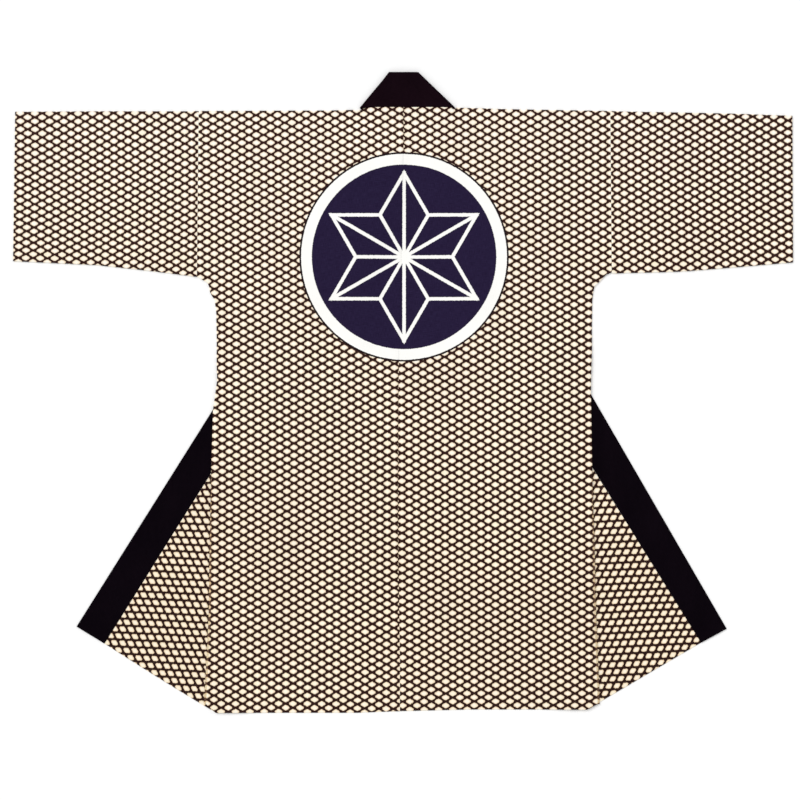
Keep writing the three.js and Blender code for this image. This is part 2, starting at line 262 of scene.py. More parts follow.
# %% [markdown]
# A piece of cloth is a few grids of points that share their edges: the back, the fold over the
# shoulder, the hidden front, the slant fold and the turned front. They are welded into one
# middle surface with its printed side outward, and Solidify gives it the cloth's thickness.
# Each grid carries its own UV in metres of cloth, so that the print follows the grain.

# %% From grids to cloth
FAR_AWAY = 50.0  # metres from the design, for cloth that has none
AROUND_FOLD = (0, 2 * CLOTH_FOLD * MM)  # how far the print runs on round a fold


def placed(half, out, up, height):
    """Points in the frame, in metres: x = mirror * out, y = up + shoulder line, z = height."""
    return np.stack([half["mirror"] * out, up + SHOULDER, height + 0 * out], axis=-1) * MM


def hairpin(half, start, end, normal, steps=8):
    """Half a circle between two rows of points. For an angle a from 0 to pi a point goes
    (1 - cos a) / 2 of the way, and out along normal by sin a times half their height apart."""
    angle = np.linspace(0, math.pi, steps + 1)[:, None, None]
    radius = np.abs(start[..., 2:] - end[..., 2:]) / 2
    direction = np.array([half["mirror"] * normal[0], normal[1], 0.0])
    return start + (end - start) * (1 - np.cos(angle)) / 2 + direction * radius * np.sin(angle)


def spread_uv(start, end, steps=8):
    """UVs for the rows of a hairpin, evenly from one row's UVs to the other's."""
    share = np.linspace(0, 1, steps + 1)[:, None, None]
    return start + (end - start) * share


def cloth_piece(name, grids, thickness, flip, shares=None):
    """One welded surface from grids of (points, print UV, which side of the cloth shows: 0 or 1),
    and with a design its UV. Points closer than a micrometre become one. Quads run along each
    grid's rows and columns, and where two of their corners meet they become triangles. shares
    gives each point's share of the thickness."""
    points = np.concatenate([grid[0].reshape(-1, 3) for grid in grids])
    designs = [grid[3] if len(grid) > 3 else np.full(grid[1].shape, FAR_AWAY) for grid in grids]
    uvs = [np.concatenate([uv.reshape(-1, 2) for uv in kind])
           for kind in ([grid[1] for grid in grids], designs)]
    keys = np.round(points * 1e6).astype(np.int64)
    _, first, number = np.unique(keys, axis=0, return_index=True, return_inverse=True)
    number = number.reshape(-1)
    quads, slots, start = [], [], 0
    for grid in grids:
        rows, columns = grid[0].shape[:2]
        at = start + np.arange(rows * columns).reshape(rows, columns)
        quad = np.stack([at[:-1, :-1], at[:-1, 1:], at[1:, 1:], at[1:, :-1]], axis=-1)
        quads.append(quad.reshape(-1, 4))
        slots.append(np.full(len(quads[-1]), grid[2]))
        start += rows * columns
    quads, slots = np.concatenate(quads), np.concatenate(slots)
    if flip:
        quads = quads[:, ::-1]
    welded = number[quads]
    same = welded == np.roll(welded, -1, axis=1)
    square = ~same.any(axis=1)
    whole = quads[square]
    cut = same.sum(axis=1) == 1
    corners = [np.roll(quads[cut], -(k + 1), axis=1)[:, :3][same[cut][:, k]] for k in range(4)]
    corner_slots = [slots[cut][same[cut][:, k]] for k in range(4)]
    corners = np.concatenate(corners)
    face_slots = np.concatenate([slots[square]] + corner_slots).astype(np.int32)
    mesh = bpy.data.meshes.new(name)
    mesh.from_pydata(points[first].tolist(), [], number[whole].tolist() + number[corners].tolist())
    raw = np.concatenate([whole.reshape(-1), corners.reshape(-1)])
    for title, uv in zip(("print", "design"), uvs):
        mesh.uv_layers.new(name=title).data.foreach_set("uv", uv[raw].astype(np.float32).reshape(-1))
    mesh.polygons.foreach_set("material_index", face_slots)
    mesh.shade_smooth()
    piece = bpy.data.objects.new(name, mesh)
    bpy.context.scene.collection.objects.link(piece)
    solid = piece.modifiers.new("thickness", "SOLIDIFY")
    solid.thickness = thickness * MM
    solid.offset = 0.0
    solid.material_offset = 1
    if shares is not None:
        group = piece.vertex_groups.new(name="thickness")
        kept = shares.reshape(-1)[first].round(2)
        for share in np.unique(kept):
            group.add(np.flatnonzero(kept == share).tolist(), float(share), "REPLACE")
        solid.vertex_group = "thickness"
    print(name, len(mesh.vertices), "points,", len(mesh.polygons), "faces")
    return piece


# %% [markdown]
# The print is a lattice of diamonds, and its UV is measured from the middle of one of them. The
# body and sleeves were cut from one bolt, so their diamonds lie along the cloth. A turned front
# was folded over with its grain, so its diamonds follow the collar seam. No panel lies quite
# square: each leans and bows by a few millimetres, as cloth does when it is laid out by hand.
# The numbers for lean and bow are a least squares fit to the photograph's print.

# %% Print and design coordinates
GRAIN = {  # middle (x, up) in mm and turn in degrees, then how far the print is moved across and along
    ("body", "left"): (
        (-169.9, -476.8), 0.0,
        (9.9, 0.2, 0.11, -0.25, -0.01, -0.02), (-0.85, -1.69, 0.13, -0.19, -0.19, 0.21)),
    ("body", "right"): (
        (168.3, -476.8), 0.0,
        (4.7, 0.21, -0.01, -0.5, -0.06, -0.06), (0.97, -2.01, 0.09, -0.53, -0.04, 0.06)),
    ("sleeve", "left"): (
        (-490.0, -123.8), 0.0,
        (-1.7, -0.92, 1.22, 0.17, 0.31, 0.61), (-1.64, -0.43, -1.16, -0.78, -0.36, -0.78)),
    ("sleeve", "right"): (
        (493.3, -125.4), 0.0,
        (0.62, 1.06, -1.87, 0.9, -0.14, -0.28), (2.82, -1.41, -0.25, -0.81, 0.08, 0.22)),
    ("turned", "left"): (
        (-381.1, -826.6), -31.59,
        (7.28, -0.24, 0.2, 0.11, -0.65, -0.06), (0.88, -2.44, 0.21, -0.17, -0.43, 0.23)),
    ("turned", "right"): (
        (384.4, -826.6), 31.74,
        (8.63, 0.07, -0.11, 0.34, -0.49, 0.44), (-0.31, -2.27, 0.16, 0.4, 0.43, 0.4)),
}
ROUNDEL_AT = (1.7, -241.0)  # middle of the back's roundel, mm across and up


def print_uv(part, side, out, up):
    """UV in metres: the plan turned with the grain, plus a lean and bow that are sums of 1, y,
    y^2, x, xy and x^2, with x and y in tenths of a metre from the panel's middle."""
    middle, turn, across, along = GRAIN[part, side]
    x, y = HALVES[side]["mirror"] * out - middle[0], up - middle[1]
    c, s = math.cos(math.radians(turn)), math.sin(math.radians(turn))
    p, q = x / 100, y / 100
    terms = np.stack([1 + 0 * p, q, q * q, p, p * q, p * p], axis=-1)
    return np.stack([x * c + y * s + terms @ across, y * c - x * s + terms @ along], axis=-1) * MM


def design_uv(half, out, up):
    """Metres from the middle of the roundel, for the back only."""
    return np.stack([half["mirror"] * out - ROUNDEL_AT[0], up - ROUNDEL_AT[1]], axis=-1) * MM


# %% [markdown]
# One length of narrow cloth makes half the body: from the back hem up over the shoulder and down
# to the front hem, with no shoulder seam. The back seam joins the two halves. The grids follow
# that cloth, so their rows are the weft and their columns the warp.

# %% Body outlines
CELL = 5.5  # of the grids, in mm
ROW_APART, COLUMN_APART = 1.5, 0.004  # a row or column nearer than this to a needed one goes
UNDERARM, UNDERARM_END = -290, -320.0  # where the side seam starts, and its curve ends
ARM_EASE = -300, -280  # where the step beside the side seam fades in
NECK_RISE, NECK_SLOPE = 2.4, (-5, 26)  # how the back rises to the collar, and over what depth
ROLL_FROM, ROLL_TO, ROLL_OUT = -600, -760, 2.3  # where the side seam rolls out, and how far


def fold_seam(half):
    """Where the collar seam meets the slant fold."""
    top, foot = half["fold_top"], half["fold_foot"]
    out, up = point_between(top, foot, (half["seam_out"] - top[0]) / (foot[0] - top[0]))
    return float(out), float(up)


def body_shares(half):
    """Shares of the body's length at which its rows lie, close at the shoulder and hem, with a
    row at the collar seam's end and at each bend of the underarm."""
    top, foot = half["neck"][1], half["fold_foot"][1]
    seam = fold_seam(half)[1]
    stops = np.array([seam] + [up for up in half["side_up"] if UNDERARM_END < up < seam])
    ups = top + (foot - top) * graded(top - foot, CELL)
    near = np.abs(ups[:, None] - stops).min(axis=1) < ROW_APART
    ups = np.sort(np.concatenate([ups[~near], stops]))[::-1]
    return (ups - top) / (foot - top), int(np.argmin(np.abs(ups - seam)))


def corner_share(half):
    """Share of the way from the collar seam to the side at which the slant fold meets the hem."""
    return (half["fold_foot"][0] - half["seam_out"]) / (half["side_foot"][0] - half["seam_out"])


def side_columns(half):
    """Shares across the body from the collar seam to the side, with one at the hem's corner."""
    shares = graded(half["side_foot"][0] - half["seam_out"], CELL)
    corner = corner_share(half)
    return np.sort(np.append(shares[np.abs(shares - corner) > COLUMN_APART], corner))


def collar_line(half, shares, on_fold):
    """Where the collar is sewn on, a point a row. Below the slant fold's seam point the line goes
    on along the fold if on_fold, which suits the front, or else straight down under the back."""
    neck, seam, top, foot = half["neck"], fold_seam(half), half["fold_top"], half["fold_foot"]
    up = neck[1] + (foot[1] - neck[1]) * shares
    part = (neck[1] - up) / (neck[1] - seam[1])
    slant = top[0] + (foot[0] - top[0]) * (up - top[1]) / (foot[1] - top[1])
    below = slant if on_fold else half["seam_out"]
    return np.where(part < 1, neck[0] + (seam[0] - neck[0]) * part, below), up


def side_line(half, shares):
    """The side edge, read from the table of its places."""
    up = -CLOTH_FOLD + (half["side_foot"][1] + CLOTH_FOLD) * shares
    return np.interp(-up, -np.array(half["side_up"], float), half["side_out"]), up


# %% [markdown]
# The back runs from the neck to the hem and is cut straight across at the neck. Under it the
# front goes down to the slant line, where it is folded, and the rest of it, a triangle, comes
# back out beside the hem. Each is a grid in plan, lifted to its height in the pile.

# %% Back, hidden front and turned front
def back_grid(half, shares):
    """Two parts side by side. From the centre seam to the collar's line the neck edge is level and
    drops at its end as the 16th power of the share across. From there to the side the rows slope
    to the side's points. By the neck the cloth rises to meet the collar. The side seams, and the
    centre seam on the left, have their steps."""
    down = shares[:, None]
    line_out, line_up = collar_line(half, down, on_fold=False)
    side_out, side_up = side_line(half, down)
    near = graded(half["seam_out"], CELL)[:-1]
    neck_up = NECK_EDGE + (half["neck"][1] - NECK_EDGE) * near ** 16
    hem_up = HEM_CENTRE + (half["fold_foot"][1] - HEM_CENTRE) * near
    across, corner = side_columns(half), corner_share(half)
    kink = corner * (1 - down)
    slope = np.where(across <= corner, across * (1 - down),
                     kink + (1 - kink) * (across - corner) / (1 - corner))
    up = np.hstack([neck_up + (hem_up - neck_up) * down, line_up + (side_up - line_up) * slope])
    centre = half["mirror"] * np.interp(-up[:, :1], -np.array(CENTRE_UP), CENTRE_AT) + SEAM_GAP
    out = np.hstack([centre + (line_out - centre) * near, line_out + (side_out - line_out) * across])
    height = back_height(half, out, up) + creases(BACK_CREASES, half, out, up)
    beside = 1 - ease(out, half["neck"][0] / 2, half["neck"][0])
    height += NECK_RISE * beside * (1 - ease(-up, *NECK_SLOPE))
    height += seam_step(side_out - out) * (1 - ease(up, *ARM_EASE))
    if half["mirror"] < 0:
        height += seam_step(out - centre) * ease(NECK_EDGE - up, 0, ALLOWANCE / 2)
    return out, up, height


def hidden_grid(half, shares):
    """Straight rows from the collar's line, or the slant fold under it, out to the side."""
    down = shares[:, None]
    line, side = collar_line(half, down, on_fold=True), side_line(half, down)
    out, up = point_between(line, side, side_columns(half))
    return out, up, front_height(half, out, up)


def turned_grid(half, reach):
    """A triangle from its point on the slant fold down to the hem. Each row runs from the collar
    seam to the fold and sags by 4 t (1 - t) times the sixth power of its share of the way down."""
    seam, down = fold_seam(half), reach[:, None]
    line, fold = (point_between(seam, half[end], down) for end in ("hem_seam", "fold_foot"))
    across = graded(span(half["hem_seam"], half["fold_foot"]), CELL)
    out, up = point_between(line, fold, across)
    up = up - half["hem_bow"] * 4 * across * (1 - across) * down ** 6
    return out, up, FIRST_LAYER + creases(TURNED_CREASES, half, out, up)


# %% [markdown]
# The fold over the shoulder and the slant fold are soft half circles, and so is the side seam,
# where the two layers turn into each other below the sleeve. The half circle is as high as the
# layers are apart, which is how cloth looks when it is pressed but not ironed to a knife edge.

# %% The two halves of the body
def body_piece(side):
    """Half the body: back, hidden front and turned front, joined by half circles over the shoulder,
    at the slant fold and down the side. Lower down, the side's half circle is moved out by an
    eased distance, so that the seam allowance shows with the cloth's wrong side, whose darker
    tan cream is painted contact shadow."""
    half = HALVES[side]
    shares, seam_row = body_shares(half)
    reach = (shares[seam_row:] - shares[seam_row]) / (1 - shares[seam_row])
    plans = back_grid(half, shares), hidden_grid(half, shares), turned_grid(half, reach)
    back, hidden, turned = (placed(half, *plan) for plan in plans)
    back_uv, hidden_uv, turned_uv = (print_uv(part, side, *plan[:2]) for part, plan
                                     in zip(("body", "body", "turned"), plans))
    first = back.shape[1] - hidden.shape[1]
    shoulder = hairpin(half, back[0, first:], hidden[0], (0, 1))
    shoulder_uv = spread_uv(back_uv[0, first:], back_uv[0, first:] + AROUND_FOLD)
    fold_side = inward(half["fold_top"], half["fold_foot"])
    slant = hairpin(half, turned[:, -1], hidden[seam_row:, 0], fold_side)
    slant_uv = spread_uv(turned_uv[:, -1], turned_uv[:, -1] + AROUND_FOLD)
    slant, slant_uv = slant.swapaxes(0, 1), slant_uv.swapaxes(0, 1)
    side_up = plans[1][1][:, -1]
    below = side_up < UNDERARM
    edge = hairpin(half, hidden[below, -1], back[below, -1], (1, 0))
    roll = ROLL_OUT * ease(-side_up[below], -ROLL_FROM, -ROLL_TO)
    edge[1:-2, :, 0] += half["mirror"] * roll * MM
    past = np.abs(edge[:, :, 0] - edge[-1:, :, 0])
    edge_uv = np.stack([back_uv[below, -1, 0] + half["mirror"] * past,
                        back_uv[below, -1, 1] + 0 * past], axis=-1)
    edge, edge_uv = edge.swapaxes(0, 1), edge_uv.swapaxes(0, 1)
    opens = int(np.sum(side_up[below] > ROLL_FROM))
    grids = [
        (back[::-1], back_uv[::-1], 0, design_uv(half, *plans[0][:2])[::-1]),
        (shoulder, shoulder_uv, 0),
        (hidden, hidden_uv, 0),
        (slant, slant_uv, 0),
        (turned, turned_uv, 0),
        (edge[:opens + 1], edge_uv[:opens + 1], 0),
        (edge[opens:], edge_uv[opens:], 1),
    ]
    return cloth_piece("body_cloth_" + side, grids, CLOTH_THICK, flip=half["mirror"] < 0)


bodies = {side: body_piece(side) for side in HALVES}

# %% [markdown]
# A sleeve is one cloth folded at its top edge and sewn under the arm, pressed flat. It is a
# straight tube, so its two layers touch all over and turn at the top and at the foot.

# %% Sleeves
CUFF_HEM, CUFF_RISE = 14.0, 0.6  # width of the cuff's hem in mm, and its share of a seam's step
SLEEVE_DEEP, SLEEVE_ENDS = 270, 0.06  # mm that its rows are spaced for, and share over which creases fade


def sleeve_piece(side):
    """A flat tube: two grids between the top and foot lines, which are read from the tables of
    places, joined by half circles. The upper one has creases, a seam step and the cuff's hem."""
    half = HALVES[side]
    top_out, foot_out = np.array(half["sleeve_out"], float), np.array(half["sleeve_foot_out"], float)
    top_out[0], foot_out[0] = half["side_out"][0] + SEAM_GAP, half["side_out"][1] + SEAM_GAP
    length = top_out[-1] - top_out[0]
    along = top_out[0] + length * graded(length, CELL)
    foot_along = np.interp(along, top_out, foot_out)
    top = np.interp(along, top_out, half["sleeve_top"]) - CLOTH_FOLD
    foot = np.interp(along, top_out, half["sleeve_foot"]) + CLOTH_FOLD
    down = graded(SLEEVE_DEEP, CELL)[:, None]
    out, up = point_between((along, top), (foot_along, foot), down)
    step = seam_step(out - (top_out[0] + (foot_out[0] - top_out[0]) * down))
    hem = CUFF_RISE * seam_step(top_out[-1] + (foot_out[-1] - top_out[-1]) * down - out, CUFF_HEM)
    rest = ease(down, 0, SLEEVE_ENDS) * ease(1 - down, 0, SLEEVE_ENDS)
    lift = rest * creases(SLEEVE_CREASES, half, out, up)
    upper = placed(half, out, up, SECOND_LAYER + lift + step + hem)
    lower = placed(half, out, up, FIRST_LAYER)
    uv = print_uv("sleeve", side, out, up)
    top_fold = hairpin(half, upper[0], lower[0], (0, 1))
    foot_fold = hairpin(half, lower[-1], upper[-1], (0, -1))
    top_uv = spread_uv(uv[0], uv[0] + AROUND_FOLD)
    foot_uv = spread_uv(uv[-1] - AROUND_FOLD, uv[-1])
    grids = [
        (upper[::-1], uv[::-1], 0),
        (top_fold, top_uv, 0),
        (lower, uv, 0),
        (foot_fold, foot_uv, 0),
    ]
    return cloth_piece("sleeve_cloth_" + side, grids, CLOTH_THICK, flip=half["mirror"] < 0)


sleeves = {side: sleeve_piece(side) for side in HALVES}

# %% [markdown]
# The collar is one long strip of black cotton, folded lengthwise over a paper or cotton core and
# sewn to the front edges and the neck. Laid out, it runs up from the left front's hem, turns
# under at the slant fold, turns out again beside the neck, and comes down the other side the
# same way. It is thicker than the cloth, and its edges are round.

# %% Collar
BAND_STEPS = np.array([0, 0.25, 0.6, 1.1, 2, 4, 8])  # mm from an edge of the band
BAND_CELL = 5.0
BAND_CROWN = 0.35  # mm by which the core lifts the middle
ROUNDING = 1.1  # mm from an edge over which the band thins to a round
THINNEST = 0.06  # share of the thickness left at the very edge
NAPE_WIDE, NAPE_EASE = 150, 60.0  # mm across, and how soon the ends join the level middle
HEM_GAP = 0.05  # mm from the cloth's hem corner to the band's


def band_columns():
    """Shares across the band, close together at its two edges."""
    inner = np.arange(BAND_STEPS[-1], BAND_WIDE - BAND_STEPS[-1], BAND_CELL)[1:]
    return np.concatenate([BAND_STEPS, inner, BAND_WIDE - BAND_STEPS[::-1]]) / BAND_WIDE


def band_run(start, end):
    """A grid between two cross lines of the band, each a pair of points (seam, free edge)."""
    rows = graded(span(start[0], end[0]), CELL)[:, None]
    seam, free = (point_between(a, b, rows) for a, b in zip(start, end))
    return point_between(seam, free, band_columns())


def shifted(a, b, distance):
    """The point a, moved towards b."""
    return point_between(a, b, distance / span(a, b))


def collar_side(half):
    """Rows of the band from the front hem up to the nape: turned out, slant fold, hidden, fold."""
    hem = shifted(half["hem_seam"], half["hem_corner"], HEM_GAP), half["hem_corner"]
    slant = shifted(fold_seam(half), half["fold_top"], FOLD_SEAM_GAP), half["fold_top"]
    nape = half["band_foot"], half["band_top"]
    crown = BAND_CROWN * np.sin(math.pi * band_columns())
    out, up = band_run(hem, slant)
    turned = placed(half, out, up, BAND_WALL / 2 + crown)
    out, up = band_run(slant, nape)
    hidden = placed(half, out, up, hidden_band_height(half, out, up))
    edge = placed(half, out[-1], up[-1], NAPE_LIFT + BAND_WALL / 2 + crown)
    slant_fold = hairpin(half, turned[-1], hidden[0], inward(half["fold_top"], half["fold_foot"]))
    nape_fold = hairpin(half, hidden[-1], edge, inward(*nape))
    return np.concatenate([turned, slant_fold[1:], hidden[1:], nape_fold[1:]])


def collar_piece():
    """The whole band: one side's rows, straight rows across the nape, eased to a level line, and
    the other side's rows. Its thickness falls off towards both edges as a quarter circle."""
    left, right = collar_side(HALVES["left"]), collar_side(HALVES["right"])
    share = graded(NAPE_WIDE, CELL)[1:-1, None]
    across = band_columns()
    nape = left[-1] + (right[-1] - left[-1]) * share[:, :, None]
    settled = np.clip(NAPE_EASE * np.minimum(share, 1 - share), 0, 1)
    level = (NAPE_SEAM + (NAPE_TOP - NAPE_SEAM) * across + SHOULDER) * MM
    nape[:, :, 1] += (level - nape[:, :, 1]) * settled
    rows = np.concatenate([left, nape, right[::-1]])
    steps = np.linalg.norm(np.diff(rows[:, rows.shape[1] // 2], axis=0), axis=1)
    along = np.append(0, np.cumsum(steps))[:, None]
    uv = np.stack([BAND_WIDE * MM * across + 0 * along, along + 0 * across], axis=-1)
    inside = np.clip(np.minimum(across, 1 - across) * BAND_WIDE / ROUNDING, 0, 1)
    shares = np.clip(np.sqrt(1 - (1 - inside) ** 2), THINNEST, 1) + 0 * along
    return cloth_piece("collar_band", [(rows, uv, 0)], BAND_THICK, flip=True, shares=shares)


collar = collar_piece()

# %% [markdown]
# The body and sleeves are plain-woven cotton, dyed through a cut paper stencil: rice paste keeps
# the diamonds cream while the lines between them take a brown-black dye. Such cloth is matt, a
# little fuzzy, and never printed quite evenly. The lines waver with the stencil, their edges
# step from thread to thread, the dye bleeds a little brown beside them, and slubs in the yarn
# show as faint streaks. Towards the hem its lines are broader, and its tones grow yellower and
# darker, which is painted light fall-off.

# %% Node helper and print sizes
DIAMOND_WIDE, DIAMOND_HIGH = 23.6, 12.9  # mm, from line to line
YARN_PITCH = 0.5  # mm between threads
EDGE_SOFT = 0.022  # of a diamond, how blurred the print's edge is
TIP_POWER = 12.0  # higher gives sharper tips
TIP_CUT = 1.4  # how much the two long tips are cut off
BLEED_FROM = 0.28  # of a diamond from its middle, where the bleed starts
DRIFT_SCALE, DRIFT = 14.0, (0.0018, 0.0012, 0)  # per metre, and how many metres it moves a line
FRAY_SCALE, FRAY = 700.0, (0.0022, 0.0016, 0)
MIDDLE = (0.5, 0.5, 0.5)  # a noise colour's mean
SLUB_STRETCHES = (90, 1500, 0), (1500, 110, 0)  # per metre across and along, weft and warp
WEAVE_SHARE = 0.35  # of the relief, beside the slubs
RELIEF_HIGH = 0.0003  # metres
SHEEN_SPREAD = 0.6
COLOUR = dict(out=2, data_type="RGBA")  # for a Mix node of colours


def linear(hex_colour):
    """The linear RGBA of an sRGB hex colour: c / 12.92 below 0.04045, else ((c + 0.055) / 1.055)^2.4."""
    parts = [int(hex_colour[i:i + 2], 16) / 255 for i in (1, 3, 5)]
    return [c / 12.92 if c <= 0.04045 else ((c + 0.055) / 1.055) ** 2.4 for c in parts] + [1.0]


def fill(node, inputs):
    """Fills a node's inputs, by name or number, each with a value or the socket to link from."""
    for key, source in dict(inputs).items():
        if isinstance(source, bpy.types.NodeSocket):
            node.id_data.links.new(source, node.inputs[key])
        else:
            node.inputs[key].default_value = source


def add_node(tree, kind, inputs=(), out=0, **settings):
    """Adds a shader node, named by its kind and, if it has one, its operation. Sets its properties
    and fills its inputs. Gives back one of its outputs. By number, a Map Range takes 0 the value,
    1 and 2 the range from, 3 and 4 the range to. A colour Mix takes 0 the share, 6 and 7 the
    colours. Below, add is this for one material."""
    kind, _, operation = kind.partition(" ")
    node = tree.nodes.new("ShaderNode" + kind)
    if operation:
        settings["operation"] = operation
    for name, value in settings.items():
        setattr(node, name, value)
    fill(node, inputs)
    return node.outputs[out]


def new_material(name, roughness, specular, sheen):
    """A Principled material with uniform, matt cloth values: it, its add and its shader node."""
    material = bpy.data.materials.new(name)
    material.use_nodes = True
    shader = material.node_tree.nodes["Principled BSDF"]
    fill(shader, {"Roughness": roughness, "Specular IOR Level": specular, "Sheen Weight": sheen,
                  "Sheen Roughness": SHEEN_SPREAD})
    return material, functools.partial(add_node, material.node_tree), shader


# %% [markdown]
# Two small node groups follow. The first is the weave: half a millimetre from thread to thread,
# too fine to model, so it only tilts the light. The second is the print. A stencil's diamonds
# have blunt tips, and their long tips are the bluntest, because the paste spreads where two
# lines meet at a sharp angle. The formula for that is short enough to write in nodes.

# %% Cloth relief and the diamond lattice
def yarn_relief(add, uv):
    """Height of a plain weave with slubs. The weave is sin(k u) sin(k v), which is high where the
    warp is on top and low where the weft is. Slubs are noise drawn out along each thread."""
    turn = math.pi / (YARN_PITCH * MM)
    phase = add("VectorMath MULTIPLY", {0: uv, 1: (turn, turn, 0)})
    wave = add("VectorMath SINE", {0: phase})
    waves = add("SeparateXYZ", {0: wave}).node.outputs
    weave = add("Math MULTIPLY", {0: waves[0], 1: waves[1]})
    slubs = []
    for stretch in SLUB_STRETCHES:
        drawn = add("VectorMath MULTIPLY", {0: uv, 1: stretch})
        slubs.append(add("TexNoise", {"Vector": drawn, "Scale": 1.0, "Detail": 2.0}))
    slub = add("Math ADD", {0: slubs[0], 1: slubs[1]})
    relief = add("Math MULTIPLY_ADD", {0: weave, 1: WEAVE_SHARE, 2: slub})
    return relief, slub


def lattice_dye(add, uv, half_line):
    """How much dye is at a point, 0 in a diamond and 1 on a line. With a = u/W + v/H and
    b = u/W - v/H the diamonds' middles are at whole a and b, and the lines at halves. The
    twelfth root of the sum of their twelfth powers blunts the tips, where dye gathers, and a
    third term, a + b alone, cuts the two long tips a little shorter. Noise of 70 mm shifts the
    lines as the stencil moved, and noise of 1.4 mm frays their edges."""
    drift = add("TexNoise", {"Vector": uv, "Scale": DRIFT_SCALE, "Detail": 1.0}, out="Color")
    fray = add("TexNoise", {"Vector": uv, "Scale": FRAY_SCALE, "Detail": 2.0}, out="Color")
    shift = add("VectorMath SUBTRACT", {0: drift, 1: MIDDLE})
    frayed = add("VectorMath SUBTRACT", {0: fray, 1: MIDDLE})
    moved = add("VectorMath MULTIPLY_ADD", {0: shift, 1: DRIFT, 2: uv})
    moved = add("VectorMath MULTIPLY_ADD", {0: frayed, 1: FRAY, 2: moved})
    wide, high = DIAMOND_WIDE * MM, DIAMOND_HIGH * MM
    signed = []
    for sign in (1, -1):
        cell = add("VectorMath DOT_PRODUCT", {0: moved, 1: (1 / wide, sign / high, 0)}, out="Value")
        signed.append(add("Math WRAP", {0: cell, 1: 0.5, 2: -0.5}))
    sideways = add("Math ADD", {0: signed[0], 1: signed[1]})
    sideways = add("Math MULTIPLY", {0: sideways, 1: TIP_CUT / 2})
    total = 0.0
    for offset in signed + [sideways]:
        power = add("Math ABSOLUTE", {0: offset})
        power = add("Math POWER", {0: power, 1: TIP_POWER})
        total = add("Math ADD", {0: total, 1: power})
    nearest = add("Math POWER", {0: total, 1: 1 / TIP_POWER})
    past = add("Math ADD", {0: nearest, 1: half_line})
    dye = add("MapRange", {0: past, 1: 0.5 - EDGE_SOFT, 2: 0.5 + EDGE_SOFT},
              interpolation_type="SMOOTHSTEP")
    bleed = add("MapRange", {0: past, 1: BLEED_FROM, 2: 0.5}, interpolation_type="SMOOTHSTEP")
    return dye, bleed


# %% [markdown]
# The back of a hanten carries a large design. This is a generic one: a navy roundel with a
# white ring and a six-leaf hemp star, an old geometric pattern, in white lines. It is dyed, so
# it has no height of its own. It is worked out from the distance and angle to its middle.

# %% The back's design
RING_OUTER, RING_WHITE, RING_INNER = 0.1725, 0.1695, 0.1520  # radii: dark edge, white ring, navy
STAR_REACH, STAR_LINE = 0.1380, 0.0028
LEAF_TURN = math.radians(30)
COS_60, SIN_60, TAN_30 = 0.5, 0.866, 0.577
DESIGN_SOFT = 0.0003


def roundel(add, uv):
    """Masks of the roundel: inside it, white ring, white star line. Folding the angle into a
    twelfth of a turn makes one leaf into six. A leaf has its vein on the axis and its inner side
    along 30 degrees. Its outer side runs from the leaf's tip and meets the inner side at 120."""
    radius = add("VectorMath LENGTH", {0: uv}, out="Value")
    parts = add("SeparateXYZ", {0: uv}).node.outputs
    angle = add("Math ARCTAN2", {0: parts[1], 1: parts[0]})
    angle = add("Math ADD", {0: angle, 1: LEAF_TURN + 2 * math.pi})
    folded = add("Math PINGPONG", {0: angle, 1: LEAF_TURN})
    cosine = add("Math COSINE", {0: folded})
    sine = add("Math SINE", {0: folded})
    x = add("Math MULTIPLY", {0: radius, 1: cosine})
    y = add("Math MULTIPLY", {0: radius, 1: sine})
    point = add("CombineXYZ", {0: x, 1: y, 2: 1.0})
    tip = STAR_REACH
    # A line a x + b y + c = 0 through the folded plan, and its reach, where another such sum is >= 0
    rows = [
        ((0.0, 1.0, 0.0), (-1.0, 0.0, tip)),
        ((COS_60, -SIN_60, 0.0), (-SIN_60, -COS_60, tip * TAN_30)),
        ((COS_60, SIN_60, -COS_60 * tip), (1.0, 0.0, -COS_60 * tip)),
    ]
    star = tip  # farther than any line's half width
    for line, reach in rows:
        off = add("VectorMath DOT_PRODUCT", {0: point, 1: line}, out="Value")
        off = add("Math ABSOLUTE", {0: off})
        beyond = add("VectorMath DOT_PRODUCT", {0: point, 1: reach}, out="Value")
        beyond = add("Math MULTIPLY", {0: beyond, 1: -1.0})
        off = add("Math MAXIMUM", {0: off, 1: beyond})
        star = add("Math MINIMUM", {0: star, 1: off})
    masks = []
    rings = [(radius, ring) for ring in (RING_OUTER, RING_WHITE, RING_INNER)]
    for value, edge in rings + [(star, STAR_LINE)]:
        masks.append(add("MapRange", {0: value, 1: edge + DESIGN_SOFT, 2: edge - DESIGN_SOFT}))
    return masks


# %% [markdown]
# One recipe makes both sides of the cloth. The dye soaks through, so the wrong side has the same
# lattice, only paler; its darker tan cream is painted contact shadow for the side seam's roll.
# Cream and dark each run from a tone at the shoulder to one at the hem, painted light fall-off.

# %% Printed cotton
HEMWARD_TOP, HEMWARD_FOOT = 0.42, -0.30  # the frame's y between which the tones shift, painted light fall-off, and the lines broaden
BODY_HEMWARD = 0.7  # how far the body takes that shift, against the turned fronts
BODY_SIDE = 0.30, 0.345  # metres out, where the one passes into the other
RIGHT_HEAVIER_AND_DIMMER, HEAVIER_AT = 0.013, (0.15, 0.55)  # lines broaden towards the right sleeve: partly the print, partly painted dimmer light on that side
BLEED_SHARE, BLEED_TINT = 0.56, "#DDAE72"
MOTTLE_SHARE, MOTTLE_TINT = 0.5, "#F3E7C6"
WORN_SHARE, WORN_TINT = 0.10, "#8A7466"
DESIGN_BLUES, DESIGN_WHITE, DESIGN_RIM = ("#1D1330", "#29203F"), "#FBFAF6", "#1C1013"
DESIGN_FRAY = 0.0016, 0.0016, 0
SHADES = 0.93, 1.05  # how much the patches darken and lighten the cloth


